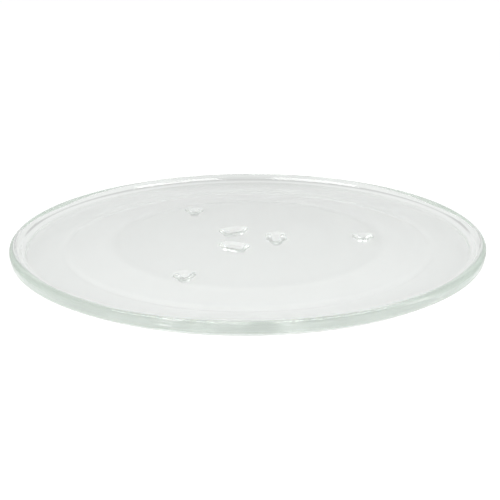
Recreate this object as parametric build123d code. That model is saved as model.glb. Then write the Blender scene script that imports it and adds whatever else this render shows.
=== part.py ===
"""Microwave turntable plate: one disc of pressed glass.

Frame: origin on the plate's axis, in the plane that the feet stand on. +Z is up, and +X goes through one foot
and one lug. Lengths are in millimetres and angles in degrees.
"""
import os
from math import radians, tan

from build123d import *

# Plate
PLATE_DIAMETER = 345.0
BASE_THICKNESS = 5.5
BASE_CLEARANCE = 4.5  # from the standing plane up to the underside of the base

# Well, the flat round floor that dishes stand on
WELL_DIAMETER = 272.0
WELL_BEND_RUN = 6.0  # the easy bend from the well up into the brim, on each side of the well's edge

# Brim, the shallow cone between the well and the rim
BRIM_RISE = 3.0
UNDERSIDE_EDGE_DIAMETER = 332.0  # where the brim's underside turns steeply up to the rim
UNDERSIDE_EDGE_RISE = 2.8  # from the underside of the base up to that edge, so that the brim keeps its thickness
UNDERSIDE_EDGE_BEVEL = 2.1

# Rim, the thick bead round the edge
RIM_RISE = 8.45  # from the well's floor to the top of the rim
RIM_LAND = 3.3  # width of the rim's crest, from its inner edge to the outermost line
SHOULDER_RUN = 3.0  # sloped shoulder between the crest and the rim's inner face
SHOULDER_DROP = 1.05
SHOULDER_BEVEL = 1.5
RIM_INNER_RUN = 3.2  # how far the rim's inner face leans outwards as it rises
RIM_OUTER_HEIGHT = 6.8  # from the rim's top down to its lower edge
PARTING_DROP = 3.5  # from the rim's top down to the mould's parting line, where the rim is widest
PARTING_UPPER_LEAN = 0.1
PARTING_LOWER_LEAN = 0.4
RIM_FOOT_ROUNDING = 6.0  # hollow corner where the brim meets the rim's inner face
RIM_TOP_ROUNDING = 2.4
RIM_CREST_BEVEL = 0.75
RIM_LOWER_BEVEL = 0.7

# Roller track, the smooth raised ring on the underside that the rollers run on
TRACK_INNER_DIAMETER = 212.0
TRACK_OUTER_DIAMETER = 270.0
TRACK_STEP = 0.2
TRACK_INNER_EDGE_RUN = 5.0
TRACK_OUTER_EDGE_RUN = 2.0

# Drive lugs: long rounded bars round the axis, which the motor's coupler turns between
LUG_COUNT = 3
LUG_PITCH_RADIUS = 21.6
LUG_LENGTH = 23.0
LUG_WIDTH = 14.5
LUG_HEIGHT = 4.1
LUG_DRAFT = 28.0
LUG_TIP_BEVEL = 1.0

# Feet: round studs that the plate stands on when it is out of the oven
FOOT_COUNT = 3
FOOT_PITCH_RADIUS = 88.2
FOOT_FACE_DIAMETER = 8.4  # flat face that the plate stands on
FOOT_TIP_BEVEL = 1.2
FOOT_DRAFT = 30.0

# Levels and radii that follow from the sizes above
PLATE_RADIUS = PLATE_DIAMETER / 2
WELL_RADIUS = WELL_DIAMETER / 2
UNDERSIDE_Z = BASE_CLEARANCE
WELL_Z = UNDERSIDE_Z + BASE_THICKNESS
RIM_TOP_Z = WELL_Z + RIM_RISE
CREST_RADIUS = PLATE_RADIUS - RIM_LAND
SHOULDER_RADIUS = CREST_RADIUS - SHOULDER_RUN
RIM_FOOT_RADIUS = SHOULDER_RADIUS - RIM_INNER_RUN


def vertex_at(section, corner):
    """The vertex of a flat section that stands at a corner of its outline."""
    return section.vertices().sort_by_distance((*corner, 0))[0]


def glass_section():
    """Half section of the disc in the XZ plane, from the axis to the rim, its corners rounded or bevelled."""
    well_edge = (WELL_RADIUS, WELL_Z)
    rim_foot = (RIM_FOOT_RADIUS, WELL_Z + BRIM_RISE)
    shoulder = (SHOULDER_RADIUS, RIM_TOP_Z - SHOULDER_DROP)
    crest = (CREST_RADIUS, RIM_TOP_Z)
    rim_top = (PLATE_RADIUS - PARTING_UPPER_LEAN, RIM_TOP_Z)
    parting = (PLATE_RADIUS, RIM_TOP_Z - PARTING_DROP)
    rim_lower = (PLATE_RADIUS - PARTING_LOWER_LEAN, RIM_TOP_Z - RIM_OUTER_HEIGHT)
    underside_edge = (UNDERSIDE_EDGE_DIAMETER / 2, UNDERSIDE_Z + UNDERSIDE_EDGE_RISE)
    track_outer = TRACK_OUTER_DIAMETER / 2
    track_inner = TRACK_INNER_DIAMETER / 2
    track_z = UNDERSIDE_Z - TRACK_STEP
    outline = Polyline(
        (0, WELL_Z),
        well_edge,
        rim_foot,
        shoulder,
        crest,
        rim_top,
        parting,
        rim_lower,
        underside_edge,
        (track_outer + TRACK_OUTER_EDGE_RUN, UNDERSIDE_Z),
        (track_outer, track_z),
        (track_inner, track_z),
        (track_inner - TRACK_INNER_EDGE_RUN, UNDERSIDE_Z),
        (0, UNDERSIDE_Z),
        close=True,
    )
    section = make_face(outline)
    for corner, radius in ((rim_foot, RIM_FOOT_ROUNDING), (rim_top, RIM_TOP_ROUNDING)):
        section = fillet(vertex_at(section, corner), radius)
    bevelled_corners = (
        (well_edge, WELL_BEND_RUN),
        (shoulder, SHOULDER_BEVEL),
        (crest, RIM_CREST_BEVEL),
        (rim_lower, RIM_LOWER_BEVEL),
        (underside_edge, UNDERSIDE_EDGE_BEVEL),
    )
    for corner, run in bevelled_corners:
        section = chamfer(vertex_at(section, corner), run)
    return Plane.XZ * section


def disc():
    """The round plate without its lugs and feet."""
    return revolve(glass_section(), Axis.Z)


def drive_lug():
    """One lug on the +X axis, its long way across the radius: a tapered bar with its lower edge bevelled."""
    outline = Plane((LUG_PITCH_RADIUS, 0, UNDERSIDE_Z)) * SlotOverall(LUG_LENGTH, LUG_WIDTH, rotation=90)
    bar = extrude(outline, amount=-LUG_HEIGHT, taper=LUG_DRAFT)
    tip_edges = bar.faces().sort_by(Axis.Z)[0].edges()
    return chamfer(tip_edges, LUG_TIP_BEVEL)


def foot():
    """One foot on the +X axis, down to the standing plane: a tapered stud, bevelled at its lower edge."""
    face_radius = FOOT_FACE_DIAMETER / 2
    tip_radius = face_radius + FOOT_TIP_BEVEL
    root_radius = tip_radius + (UNDERSIDE_Z - FOOT_TIP_BEVEL) * tan(radians(FOOT_DRAFT))
    outline = Polyline(
        (0, 0),
        (face_radius, 0),
        (tip_radius, FOOT_TIP_BEVEL),
        (root_radius, UNDERSIDE_Z),
        (0, UNDERSIDE_Z),
        close=True,
    )
    return Pos(FOOT_PITCH_RADIUS, 0, 0) * revolve(Plane.XZ * make_face(outline), Axis.Z)


def turntable_plate():
    """The whole plate, as pressed: one solid."""
    plate = disc()
    for piece, count in ((drive_lug(), LUG_COUNT), (foot(), FOOT_COUNT)):
        for turn in range(count):
            plate += Rot(0, 0, turn * 360 / count) * piece
    return plate


os.makedirs("parts", exist_ok=True)
plate = turntable_plate()
print("solids", len(plate.solids()), "volume", round(plate.volume), "box", plate.bounding_box())
export_step(plate, "parts/turntable_plate.step")
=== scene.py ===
"""Microwave turntable plate: a disc of pale green pressed glass in a white studio. Lengths are in metres."""
import math

import bmesh
import bpy
from mathutils import Matrix, Vector


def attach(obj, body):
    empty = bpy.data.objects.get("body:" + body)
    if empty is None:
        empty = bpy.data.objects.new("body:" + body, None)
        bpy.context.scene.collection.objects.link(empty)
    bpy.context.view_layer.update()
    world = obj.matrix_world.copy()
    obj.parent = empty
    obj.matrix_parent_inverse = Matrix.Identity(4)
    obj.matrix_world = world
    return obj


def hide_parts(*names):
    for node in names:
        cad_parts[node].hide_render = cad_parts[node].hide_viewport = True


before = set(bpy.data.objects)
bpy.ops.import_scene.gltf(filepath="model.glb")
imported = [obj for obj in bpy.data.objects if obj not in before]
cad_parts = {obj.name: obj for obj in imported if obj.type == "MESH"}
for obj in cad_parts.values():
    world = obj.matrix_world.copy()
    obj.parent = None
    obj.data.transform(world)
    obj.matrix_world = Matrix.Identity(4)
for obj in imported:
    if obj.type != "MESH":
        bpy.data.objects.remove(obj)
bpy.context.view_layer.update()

MM = 0.001

# Nearness that counts as the same point, and as the same distance from the axis
SAME_PLACE = 1e-7
SAME_RING = 1e-6

# Plate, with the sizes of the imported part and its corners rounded
PLATE_R = 172.5 * MM
UNDERSIDE_Z = 4.5 * MM
WELL_Z = 10.0 * MM
RIM_TOP_Z = 18.45 * MM
WELL_R = 136.0 * MM
WELL_BEND = 80.0 * MM
BRIM_RISE = 3.0 * MM
RIM_FOOT_R = 163.0 * MM
RIM_FOOT_ROUNDING = 6.0 * MM
SHOULDER_R = 166.2 * MM
SHOULDER_DROP = 1.05 * MM
SHOULDER_ROUNDING = 5.0 * MM
CREST_R = 169.2 * MM
CREST_ROUNDING = 4.5 * MM
RIM_TOP_ROUNDING = 2.4 * MM
PARTING_DROP = 3.5 * MM
PARTING_UPPER_LEAN = 0.1 * MM
PARTING_LOWER_LEAN = 0.4 * MM
PARTING_ROUNDING = 0.5 * MM
RIM_OUTER_HEIGHT = 6.8 * MM
RIM_LOWER_ROUNDING = 1.2 * MM
UNDERSIDE_EDGE_R = 166.0 * MM
UNDERSIDE_EDGE_Z = 7.3 * MM
UNDERSIDE_EDGE_ROUNDING = 8.0 * MM

# Roller track on the underside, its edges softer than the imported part's
TRACK_INNER_R = 106.0 * MM
TRACK_OUTER_R = 135.0 * MM
TRACK_STEP = 0.1 * MM
TRACK_INNER_EDGE_RUN = 7.0 * MM
TRACK_OUTER_EDGE_RUN = 2.0 * MM
TRACK_INNER_ROUNDING = 250.0 * MM
TRACK_OUTER_ROUNDING = 15.0 * MM

# Grain of the underside: the track has a little of its shade, and studs and steep faces have none
TRACK_GRAIN = 0.3
GRAIN_LOWEST_Z = UNDERSIDE_Z - 2 * TRACK_STEP
GRAIN_STEEPEST = -0.8

# Drive lugs and feet on the underside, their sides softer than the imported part's
STUD_ANGLES = (0, 120, 240)
LUG_PITCH_R = 21.6 * MM
LUG_HALF_CORE = 4.25 * MM
LUG_ROOT_R = 7.8 * MM
LUG_TIP_R = 3.2 * MM
LUG_HEIGHT = 4.1 * MM
FOOT_PITCH_R = 88.2 * MM
FOOT_ROOT_R = 7.5 * MM
FOOT_TIP_R = 2.8 * MM

# Rings of the underside that the lugs and the feet are pressed from: inner radius, outer radius and cuts
LUG_ZONE = (11 * MM, 33 * MM, 10)
FOOT_ZONE = (79 * MM, 97 * MM, 8)
STUD_MARGIN = 1.0 * MM
CUTS_ROUND_FEET = 2
CUTS_OUTWARDS = 5

# Fineness of the disc
TURN_STEPS = 540
CORNER_STEPS = 7
EASY_STEPS = 4
EASY_TURN = math.radians(8)

# Studio: a round floor a hair below the feet, folded up into a low wall
FLOOR_Z = -0.2 * MM
FLOOR_R = 2.6
WALL_TOP_Z = 0.35
FOLD_R = 0.3
FLOOR_STEPS = 96
FOLD_STEPS = 12

# Brightness of the floor as the glass shows it, by the distance from a place under the plate's front: a
# painted glow, lighter under the plate, with a painted shade band just behind the plate
PAINTED_GLOW_CENTRE = (0, -0.1, 0)
PAINTED_GLOW_LEVELS = ((0.08, 0.705), (0.21, 0.655), (0.272, 0.648), (0.312, 0.40), (0.42, 0.40), (0.6, 0.66))

# Brightness that is added to the floor as the camera sees it
FLOOR_LIFT = 0.88

# Overhead strip lamps, one on each side, with their outer ends turned towards the back
STRIP_SIDE = 0.63
STRIP_Y = -0.2
STRIP_Z = 1.36
STRIP_TURN = math.radians(35)
STRIP_SIZE = (0.95, 0.35)
STRIP_WATTS = 5.6

# Times that light may turn on its way through the glass
LIGHT_BOUNCES = 128


def section_corners():
    """The half section's corners, from the well's middle round the rim to the underside's middle.

    Each corner is its distance from the axis, its height and the radius that rounds it.
    """
    track_z = UNDERSIDE_Z - TRACK_STEP
    return [
        (0, WELL_Z, 0),
        (WELL_R, WELL_Z, WELL_BEND),
        (RIM_FOOT_R, WELL_Z + BRIM_RISE, RIM_FOOT_ROUNDING),
        (SHOULDER_R, RIM_TOP_Z - SHOULDER_DROP, SHOULDER_ROUNDING),
        (CREST_R, RIM_TOP_Z, CREST_ROUNDING),
        (PLATE_R - PARTING_UPPER_LEAN, RIM_TOP_Z, RIM_TOP_ROUNDING),
        (PLATE_R, RIM_TOP_Z - PARTING_DROP, PARTING_ROUNDING),
        (PLATE_R - PARTING_LOWER_LEAN, RIM_TOP_Z - RIM_OUTER_HEIGHT, RIM_LOWER_ROUNDING),
        (UNDERSIDE_EDGE_R, UNDERSIDE_EDGE_Z, UNDERSIDE_EDGE_ROUNDING),
        (TRACK_OUTER_R + TRACK_OUTER_EDGE_RUN, UNDERSIDE_Z, TRACK_OUTER_ROUNDING),
        (TRACK_OUTER_R, track_z, TRACK_OUTER_ROUNDING),
        (TRACK_INNER_R, track_z, TRACK_INNER_ROUNDING),
        (TRACK_INNER_R - TRACK_INNER_EDGE_RUN, UNDERSIDE_Z, TRACK_INNER_ROUNDING),
        (FOOT_ZONE[1], UNDERSIDE_Z, 0),
        (FOOT_ZONE[0], UNDERSIDE_Z, 0),
        (LUG_ZONE[1], UNDERSIDE_Z, 0),
        (LUG_ZONE[0], UNDERSIDE_Z, 0),
        (0, UNDERSIDE_Z, 0),
    ]


def round_corner(bm, vert, radius):
    """Rounds one corner of the flat section to a radius."""
    one_side, other_side = [edge.other_vert(vert).co - vert.co for edge in vert.link_edges]
    turn = math.pi - one_side.angle(other_side)
    steps = EASY_STEPS if turn < EASY_TURN else CORNER_STEPS
    bmesh.ops.bevel(bm, geom=[vert], offset=radius * math.tan(turn / 2), offset_type='ABSOLUTE',
                    affect='VERTICES', segments=steps, profile=0.5, material=-1, clamp_overlap=False)


def on_underside(point):
    """Whether a point lies on the flat underside."""
    return abs(point.z - UNDERSIDE_Z) < SAME_PLACE


def add_rings(bm, low, high, cuts):
    """Divides the section's underside between two distances from the axis."""
    edges = [e for e in bm.edges
             if all(on_underside(v.co) and low - SAME_RING < v.co.x < high + SAME_RING for v in e.verts)]
    bmesh.ops.subdivide_edges(bm, edges=edges, cuts=cuts)


def spin_round(bm, steps, merge_distance):
    """Spins a section once about the axis, with its seam and poles closed and its faces outwards."""
    bmesh.ops.spin(bm, geom=bm.verts[:] + bm.edges[:], cent=(0, 0, 0), axis=(0, 0, 1), angle=math.tau,
                   steps=steps, use_merge=True, use_duplicate=False)
    bmesh.ops.remove_doubles(bm, verts=bm.verts[:], dist=merge_distance)
    bmesh.ops.recalc_face_normals(bm, faces=bm.faces[:])


def turn_disc(bm):
    """The disc: its half section rounded corner by corner, then spun about the axis."""
    corners = section_corners()
    verts = [bm.verts.new((distance, 0, height)) for distance, height, _ in corners]
    bm.faces.new(verts)
    for vert, (_, _, radius) in zip(verts, corners):
        if radius:
            round_corner(bm, vert, radius)
    bmesh.ops.delete(bm, geom=bm.faces[:], context='FACES_ONLY')
    on_axis = [e for e in bm.edges if all(v.co.x < SAME_PLACE for v in e.verts)]
    bmesh.ops.delete(bm, geom=on_axis, context='EDGES')
    add_rings(bm, *LUG_ZONE)
    add_rings(bm, *FOOT_ZONE)
    spin_round(bm, TURN_STEPS, SAME_PLACE)


def stud_drop(distance, tip, root, height):
    """How far a stud stands down at a distance from its middle line: flat tip, leaning side, hollow root."""
    share = min(max((root - distance) / (root - tip), 0), 1)
    return height * share * share * (3 - 2 * share)


def stud_distances(point, turns):
    """How far a point of the underside is from the middle lines of the nearest lug and the nearest foot."""
    from_lug, from_foot = math.inf, math.inf
    for turn in turns:
        p = turn @ point
        along = min(max(p.y, -LUG_HALF_CORE), LUG_HALF_CORE)
        from_lug = min(from_lug, math.hypot(p.x - LUG_PITCH_R, p.y - along))
        from_foot = min(from_foot, math.hypot(p.x - FOOT_PITCH_R, p.y))
    return from_lug, from_foot


def divide_near_studs(bm, turns):
    """Divides the underside finely where the lugs and the feet are pressed out of it."""
    outwards, round_feet = [], []
    for edge in bm.edges:
        one, other = (v.co for v in edge.verts)
        if not on_underside(one) or not on_underside(other) or one.xy.length > FOOT_ZONE[1] + SAME_RING:
            continue
        from_lug, from_foot = stud_distances((one + other) / 2, turns)
        near_foot = from_foot < FOOT_ROOT_R + STUD_MARGIN
        if abs(one.xy.length - other.xy.length) < SAME_PLACE:
            if near_foot:
                round_feet.append(edge)
        elif near_foot or from_lug < LUG_ROOT_R + STUD_MARGIN:
            outwards.append(edge)
    bmesh.ops.subdivide_edges(bm, edges=round_feet, cuts=CUTS_ROUND_FEET)
    bmesh.ops.subdivide_edges(bm, edges=outwards, cuts=CUTS_OUTWARDS, use_grid_fill=True)


def press_studs(bm):
    """Presses the drive lugs and the feet out of the underside."""
    turns = [Matrix.Rotation(math.radians(angle), 3, 'Z') for angle in STUD_ANGLES]
    divide_near_studs(bm, turns)
    for v in bm.verts:
        if not on_underside(v.co) or v.co.xy.length > FOOT_ZONE[1]:
            continue
        from_lug, from_foot = stud_distances(v.co, turns)
        v.co.z -= max(stud_drop(from_lug, LUG_TIP_R, LUG_ROOT_R, LUG_HEIGHT),
                      stud_drop(from_foot, FOOT_TIP_R, FOOT_ROOT_R, UNDERSIDE_Z))


def mark_stipple(bm):
    """Marks the underside's fine moulded grain: full in the middle and on the brim, faint on the track."""
    layer = bm.verts.layers.float.new("stipple")
    for v in bm.verts:
        r = v.co.xy.length
        if v.normal.z > GRAIN_STEEPEST or v.co.z < GRAIN_LOWEST_Z or r > UNDERSIDE_EDGE_R:
            continue
        from_track = max(TRACK_INNER_R - r, r - TRACK_OUTER_R, 0)
        v[layer] = TRACK_GRAIN + (1 - TRACK_GRAIN) * min(from_track / TRACK_INNER_EDGE_RUN, 1)


def add_node(tree, kind, sockets=None, operation=None):
    """Adds a shader node, with the values of its sockets and its operation."""
    node = tree.nodes.new(kind)
    if operation:
        node.operation = operation
    for socket, value in (sockets or {}).items():
        node.inputs[socket].default_value = value
    return node


def empty_material(name):
    """A new material with only its output node."""
    mat = bpy.data.materials.new(name)
    mat.use_nodes = True
    mat.node_tree.nodes.clear()
    return mat, mat.node_tree.nodes.new("ShaderNodeOutputMaterial")


def pressed_glass():
    """Clear soda-lime glass with a faint green body and polished faces, grained where it is stippled."""
    mat, out = empty_material("pressed_glass")
    tree = mat.node_tree
    link = tree.links.new
    body = add_node(tree, "ShaderNodeBsdfPrincipled", {"IOR": 1.52, "Transmission Weight": 1.0})
    zone = add_node(tree, "ShaderNodeAttribute")
    zone.attribute_name = "stipple"
    shade = add_node(tree, "ShaderNodeValToRGB")
    polished, grained = shade.color_ramp.elements
    polished.color = (0.98, 1.0, 0.985, 1)
    grained.color = (0.91, 0.93, 0.915, 1)
    link(zone.outputs["Fac"], shade.inputs["Fac"])
    link(shade.outputs["Color"], body.inputs["Base Color"])
    off_track = add_node(tree, "ShaderNodeMapRange", {"From Min": TRACK_GRAIN})
    link(zone.outputs["Fac"], off_track.inputs["Value"])
    coords = add_node(tree, "ShaderNodeTexCoord")
    grain = add_node(tree, "ShaderNodeTexNoise", {"Scale": 1800, "Detail": 1.0})
    link(coords.outputs["Object"], grain.inputs["Vector"])
    depth = add_node(tree, "ShaderNodeMath", operation='MULTIPLY')
    link(grain.outputs["Fac"], depth.inputs[0])
    link(off_track.outputs["Result"], depth.inputs[1])
    bump = add_node(tree, "ShaderNodeBump", {"Strength": 0.06, "Distance": 0.3 * MM})
    link(depth.outputs["Value"], bump.inputs["Height"])
    link(bump.outputs["Normal"], body.inputs["Normal"])
    rough = add_node(tree, "ShaderNodeMapRange", {"To Min": 0.02, "To Max": 0.10})
    link(off_track.outputs["Result"], rough.inputs["Value"])
    link(rough.outputs["Result"], body.inputs["Roughness"])
    link(body.outputs["BSDF"], out.inputs["Surface"])
    tint = add_node(tree, "ShaderNodeVolumeAbsorption", {"Color": (0.70, 0.92, 0.74, 1), "Density": 0.85})
    link(tint.outputs["Volume"], out.inputs["Volume"])
    return mat


def new_object(name, bm, material):
    """Turns a finished mesh into a smooth-shaded object at the origin."""
    for f in bm.faces:
        f.smooth = True
    mesh = bpy.data.meshes.new(name)
    bm.to_mesh(mesh)
    bm.free()
    mesh.materials.append(material)
    obj = bpy.data.objects.new(name, mesh)
    bpy.context.scene.collection.objects.link(obj)
    return obj


def build_plate():
    """The whole plate as one piece of glass."""
    bm = bmesh.new()
    turn_disc(bm)
    press_studs(bm)
    bm.normal_update()
    mark_stipple(bm)
    plate = new_object("glass_plate", bm, pressed_glass())
    flat_faces = plate.modifiers.new("flat_faces", 'WEIGHTED_NORMAL')
    flat_faces.weight = 80
    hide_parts("turntable_plate")
    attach(plate, "root")


def paper_with_painted_glow():
    """Matt paper that is white to the camera; in the glass it shows a painted light-grey glow, with painted
    shade just behind the plate.
    """
    mat, out = empty_material("paper_with_painted_glow")
    tree = mat.node_tree
    link = tree.links.new
    paper = add_node(tree, "ShaderNodeBsdfDiffuse", {"Color": (0.25, 0.25, 0.25, 1)})
    place = add_node(tree, "ShaderNodeTexCoord")
    away = add_node(tree, "ShaderNodeVectorMath", {1: PAINTED_GLOW_CENTRE}, 'DISTANCE')
    link(place.outputs["Object"], away.inputs[0])
    # Painted light: the floor glows for rays through and off the glass, brighter under the plate, with a
    # painted shade band just behind it
    painted_glow = add_node(tree, "ShaderNodeValToRGB")
    stops = painted_glow.color_ramp.elements
    stops[0].position, stops[1].position = PAINTED_GLOW_LEVELS[0][0], PAINTED_GLOW_LEVELS[-1][0]
    for distance, _ in PAINTED_GLOW_LEVELS[1:-1]:
        stops.new(distance)
    for stop, (_, level) in zip(stops, PAINTED_GLOW_LEVELS):
        stop.color = (level, level, level, 1)
    link(away.outputs["Value"], painted_glow.inputs["Fac"])
    path = add_node(tree, "ShaderNodeLightPath")
    in_glass = add_node(tree, "ShaderNodeMath", operation='MAXIMUM')
    link(path.outputs["Is Glossy Ray"], in_glass.inputs[0])
    link(path.outputs["Is Transmission Ray"], in_glass.inputs[1])
    painted_glow_in_glass = add_node(tree, "ShaderNodeMath", operation='MULTIPLY')
    link(in_glass.outputs["Value"], painted_glow_in_glass.inputs[0])
    link(painted_glow.outputs["Color"], painted_glow_in_glass.inputs[1])
    strength = add_node(tree, "ShaderNodeMath", {1: FLOOR_LIFT}, 'MULTIPLY_ADD')
    link(path.outputs["Is Camera Ray"], strength.inputs[0])
    link(painted_glow_in_glass.outputs["Value"], strength.inputs[2])
    lift = add_node(tree, "ShaderNodeEmission")
    link(strength.outputs["Value"], lift.inputs["Strength"])
    both = add_node(tree, "ShaderNodeAddShader")
    link(paper.outputs["BSDF"], both.inputs[0])
    link(lift.outputs["Emission"], both.inputs[1])
    link(both.outputs["Shader"], out.inputs["Surface"])
    return mat


def studio_cove():
    """Round white floor that curves up into a low wall all the way round."""
    bm = bmesh.new()
    corners = ((0, 0, FLOOR_Z), (FLOOR_R, 0, FLOOR_Z), (FLOOR_R, 0, WALL_TOP_Z))
    profile = [bm.verts.new(corner) for corner in corners]
    for pair in zip(profile, profile[1:]):
        bm.edges.new(pair)
    bmesh.ops.bevel(bm, geom=[profile[1]], offset=FOLD_R, affect='VERTICES', segments=FOLD_STEPS,
                    profile=0.5, material=-1)
    spin_round(bm, FLOOR_STEPS, SAME_RING)
    cove = new_object("studio_cove", bm, paper_with_painted_glow())


def overhead_strip(name, side):
    """A lamp on the left (-1) or the right (1), with a plain rectangular face that shines straight down."""
    lamp = bpy.data.lights.new(name, 'AREA')
    lamp.shape = 'RECTANGLE'
    lamp.size, lamp.size_y = STRIP_SIZE
    lamp.energy = STRIP_WATTS
    obj = bpy.data.objects.new(name, lamp)
    obj.location = (side * STRIP_SIDE, STRIP_Y, STRIP_Z)
    obj.rotation_euler = (0, 0, side * STRIP_TURN)
    bpy.context.scene.collection.objects.link(obj)


def studio_light():
    """Grey ambient light, lighter at the sides and white to the camera, and the two overhead strips."""
    world = bpy.data.worlds.new("studio")
    bpy.context.scene.world = world
    world.use_nodes = True
    tree = world.node_tree
    link = tree.links.new
    ambient = tree.nodes["Background"]
    ambient.inputs["Color"].default_value = (1, 1, 1, 1)
    coords = add_node(tree, "ShaderNodeTexCoord")
    parts = add_node(tree, "ShaderNodeSeparateXYZ")
    link(coords.outputs["Generated"], parts.inputs["Vector"])
    sideways = add_node(tree, "ShaderNodeMath", operation='ABSOLUTE')
    link(parts.outputs["X"], sideways.inputs[0])
    level = add_node(tree, "ShaderNodeMapRange",
                     {"From Min": 0.45, "From Max": 0.95, "To Min": 0.59, "To Max": 0.97})
    level.interpolation_type = 'SMOOTHSTEP'
    link(sideways.outputs["Value"], level.inputs["Value"])
    path = add_node(tree, "ShaderNodeLightPath")
    strength = add_node(tree, "ShaderNodeMath", operation='MAXIMUM')
    link(level.outputs["Result"], strength.inputs[0])
    link(path.outputs["Is Camera Ray"], strength.inputs[1])
    link(strength.outputs["Value"], ambient.inputs["Strength"])
    overhead_strip("left_overhead_strip", -1)
    overhead_strip("right_overhead_strip", 1)


def photo_camera():
    """The photograph's view: from the front, a little above the rim."""
    distance = 517.5 * MM
    elevation = math.radians(17.22)
    pitch = math.radians(19.357)
    pan = math.radians(0.173)
    roll = math.radians(0.289)
    around = Matrix.Rotation(math.radians(-1.65), 4, 'Z')
    cam = bpy.data.cameras.new("photo_camera")
    cam.sensor_fit = 'HORIZONTAL'
    cam.sensor_width = 36
    cam.lens = 49.01
    cam.clip_start = 0.01
    obj = bpy.data.objects.new("photo_camera", cam)
    place = Vector((0, -distance * math.cos(elevation), RIM_TOP_Z + distance * math.sin(elevation)))
    aim = (Matrix.Rotation(math.pi / 2 - pitch, 4, 'X') @ Matrix.Rotation(-pan, 4, 'Y')
           @ Matrix.Rotation(-roll, 4, 'Z'))
    obj.matrix_world = around @ Matrix.Translation(place) @ aim
    bpy.context.scene.collection.objects.link(obj)
    bpy.context.scene.camera = obj


def light_paths():
    """Lets light that is guided inside the glass reach the far rim before it is dropped."""
    cycles = bpy.context.scene.cycles
    cycles.max_bounces = LIGHT_BOUNCES
    cycles.glossy_bounces = LIGHT_BOUNCES
    cycles.transmission_bounces = LIGHT_BOUNCES
    cycles.blur_glossy = 0


build_plate()
studio_cove()
studio_light()
photo_camera()
bpy.context.scene.view_settings.view_transform = 'Standard'
light_paths()
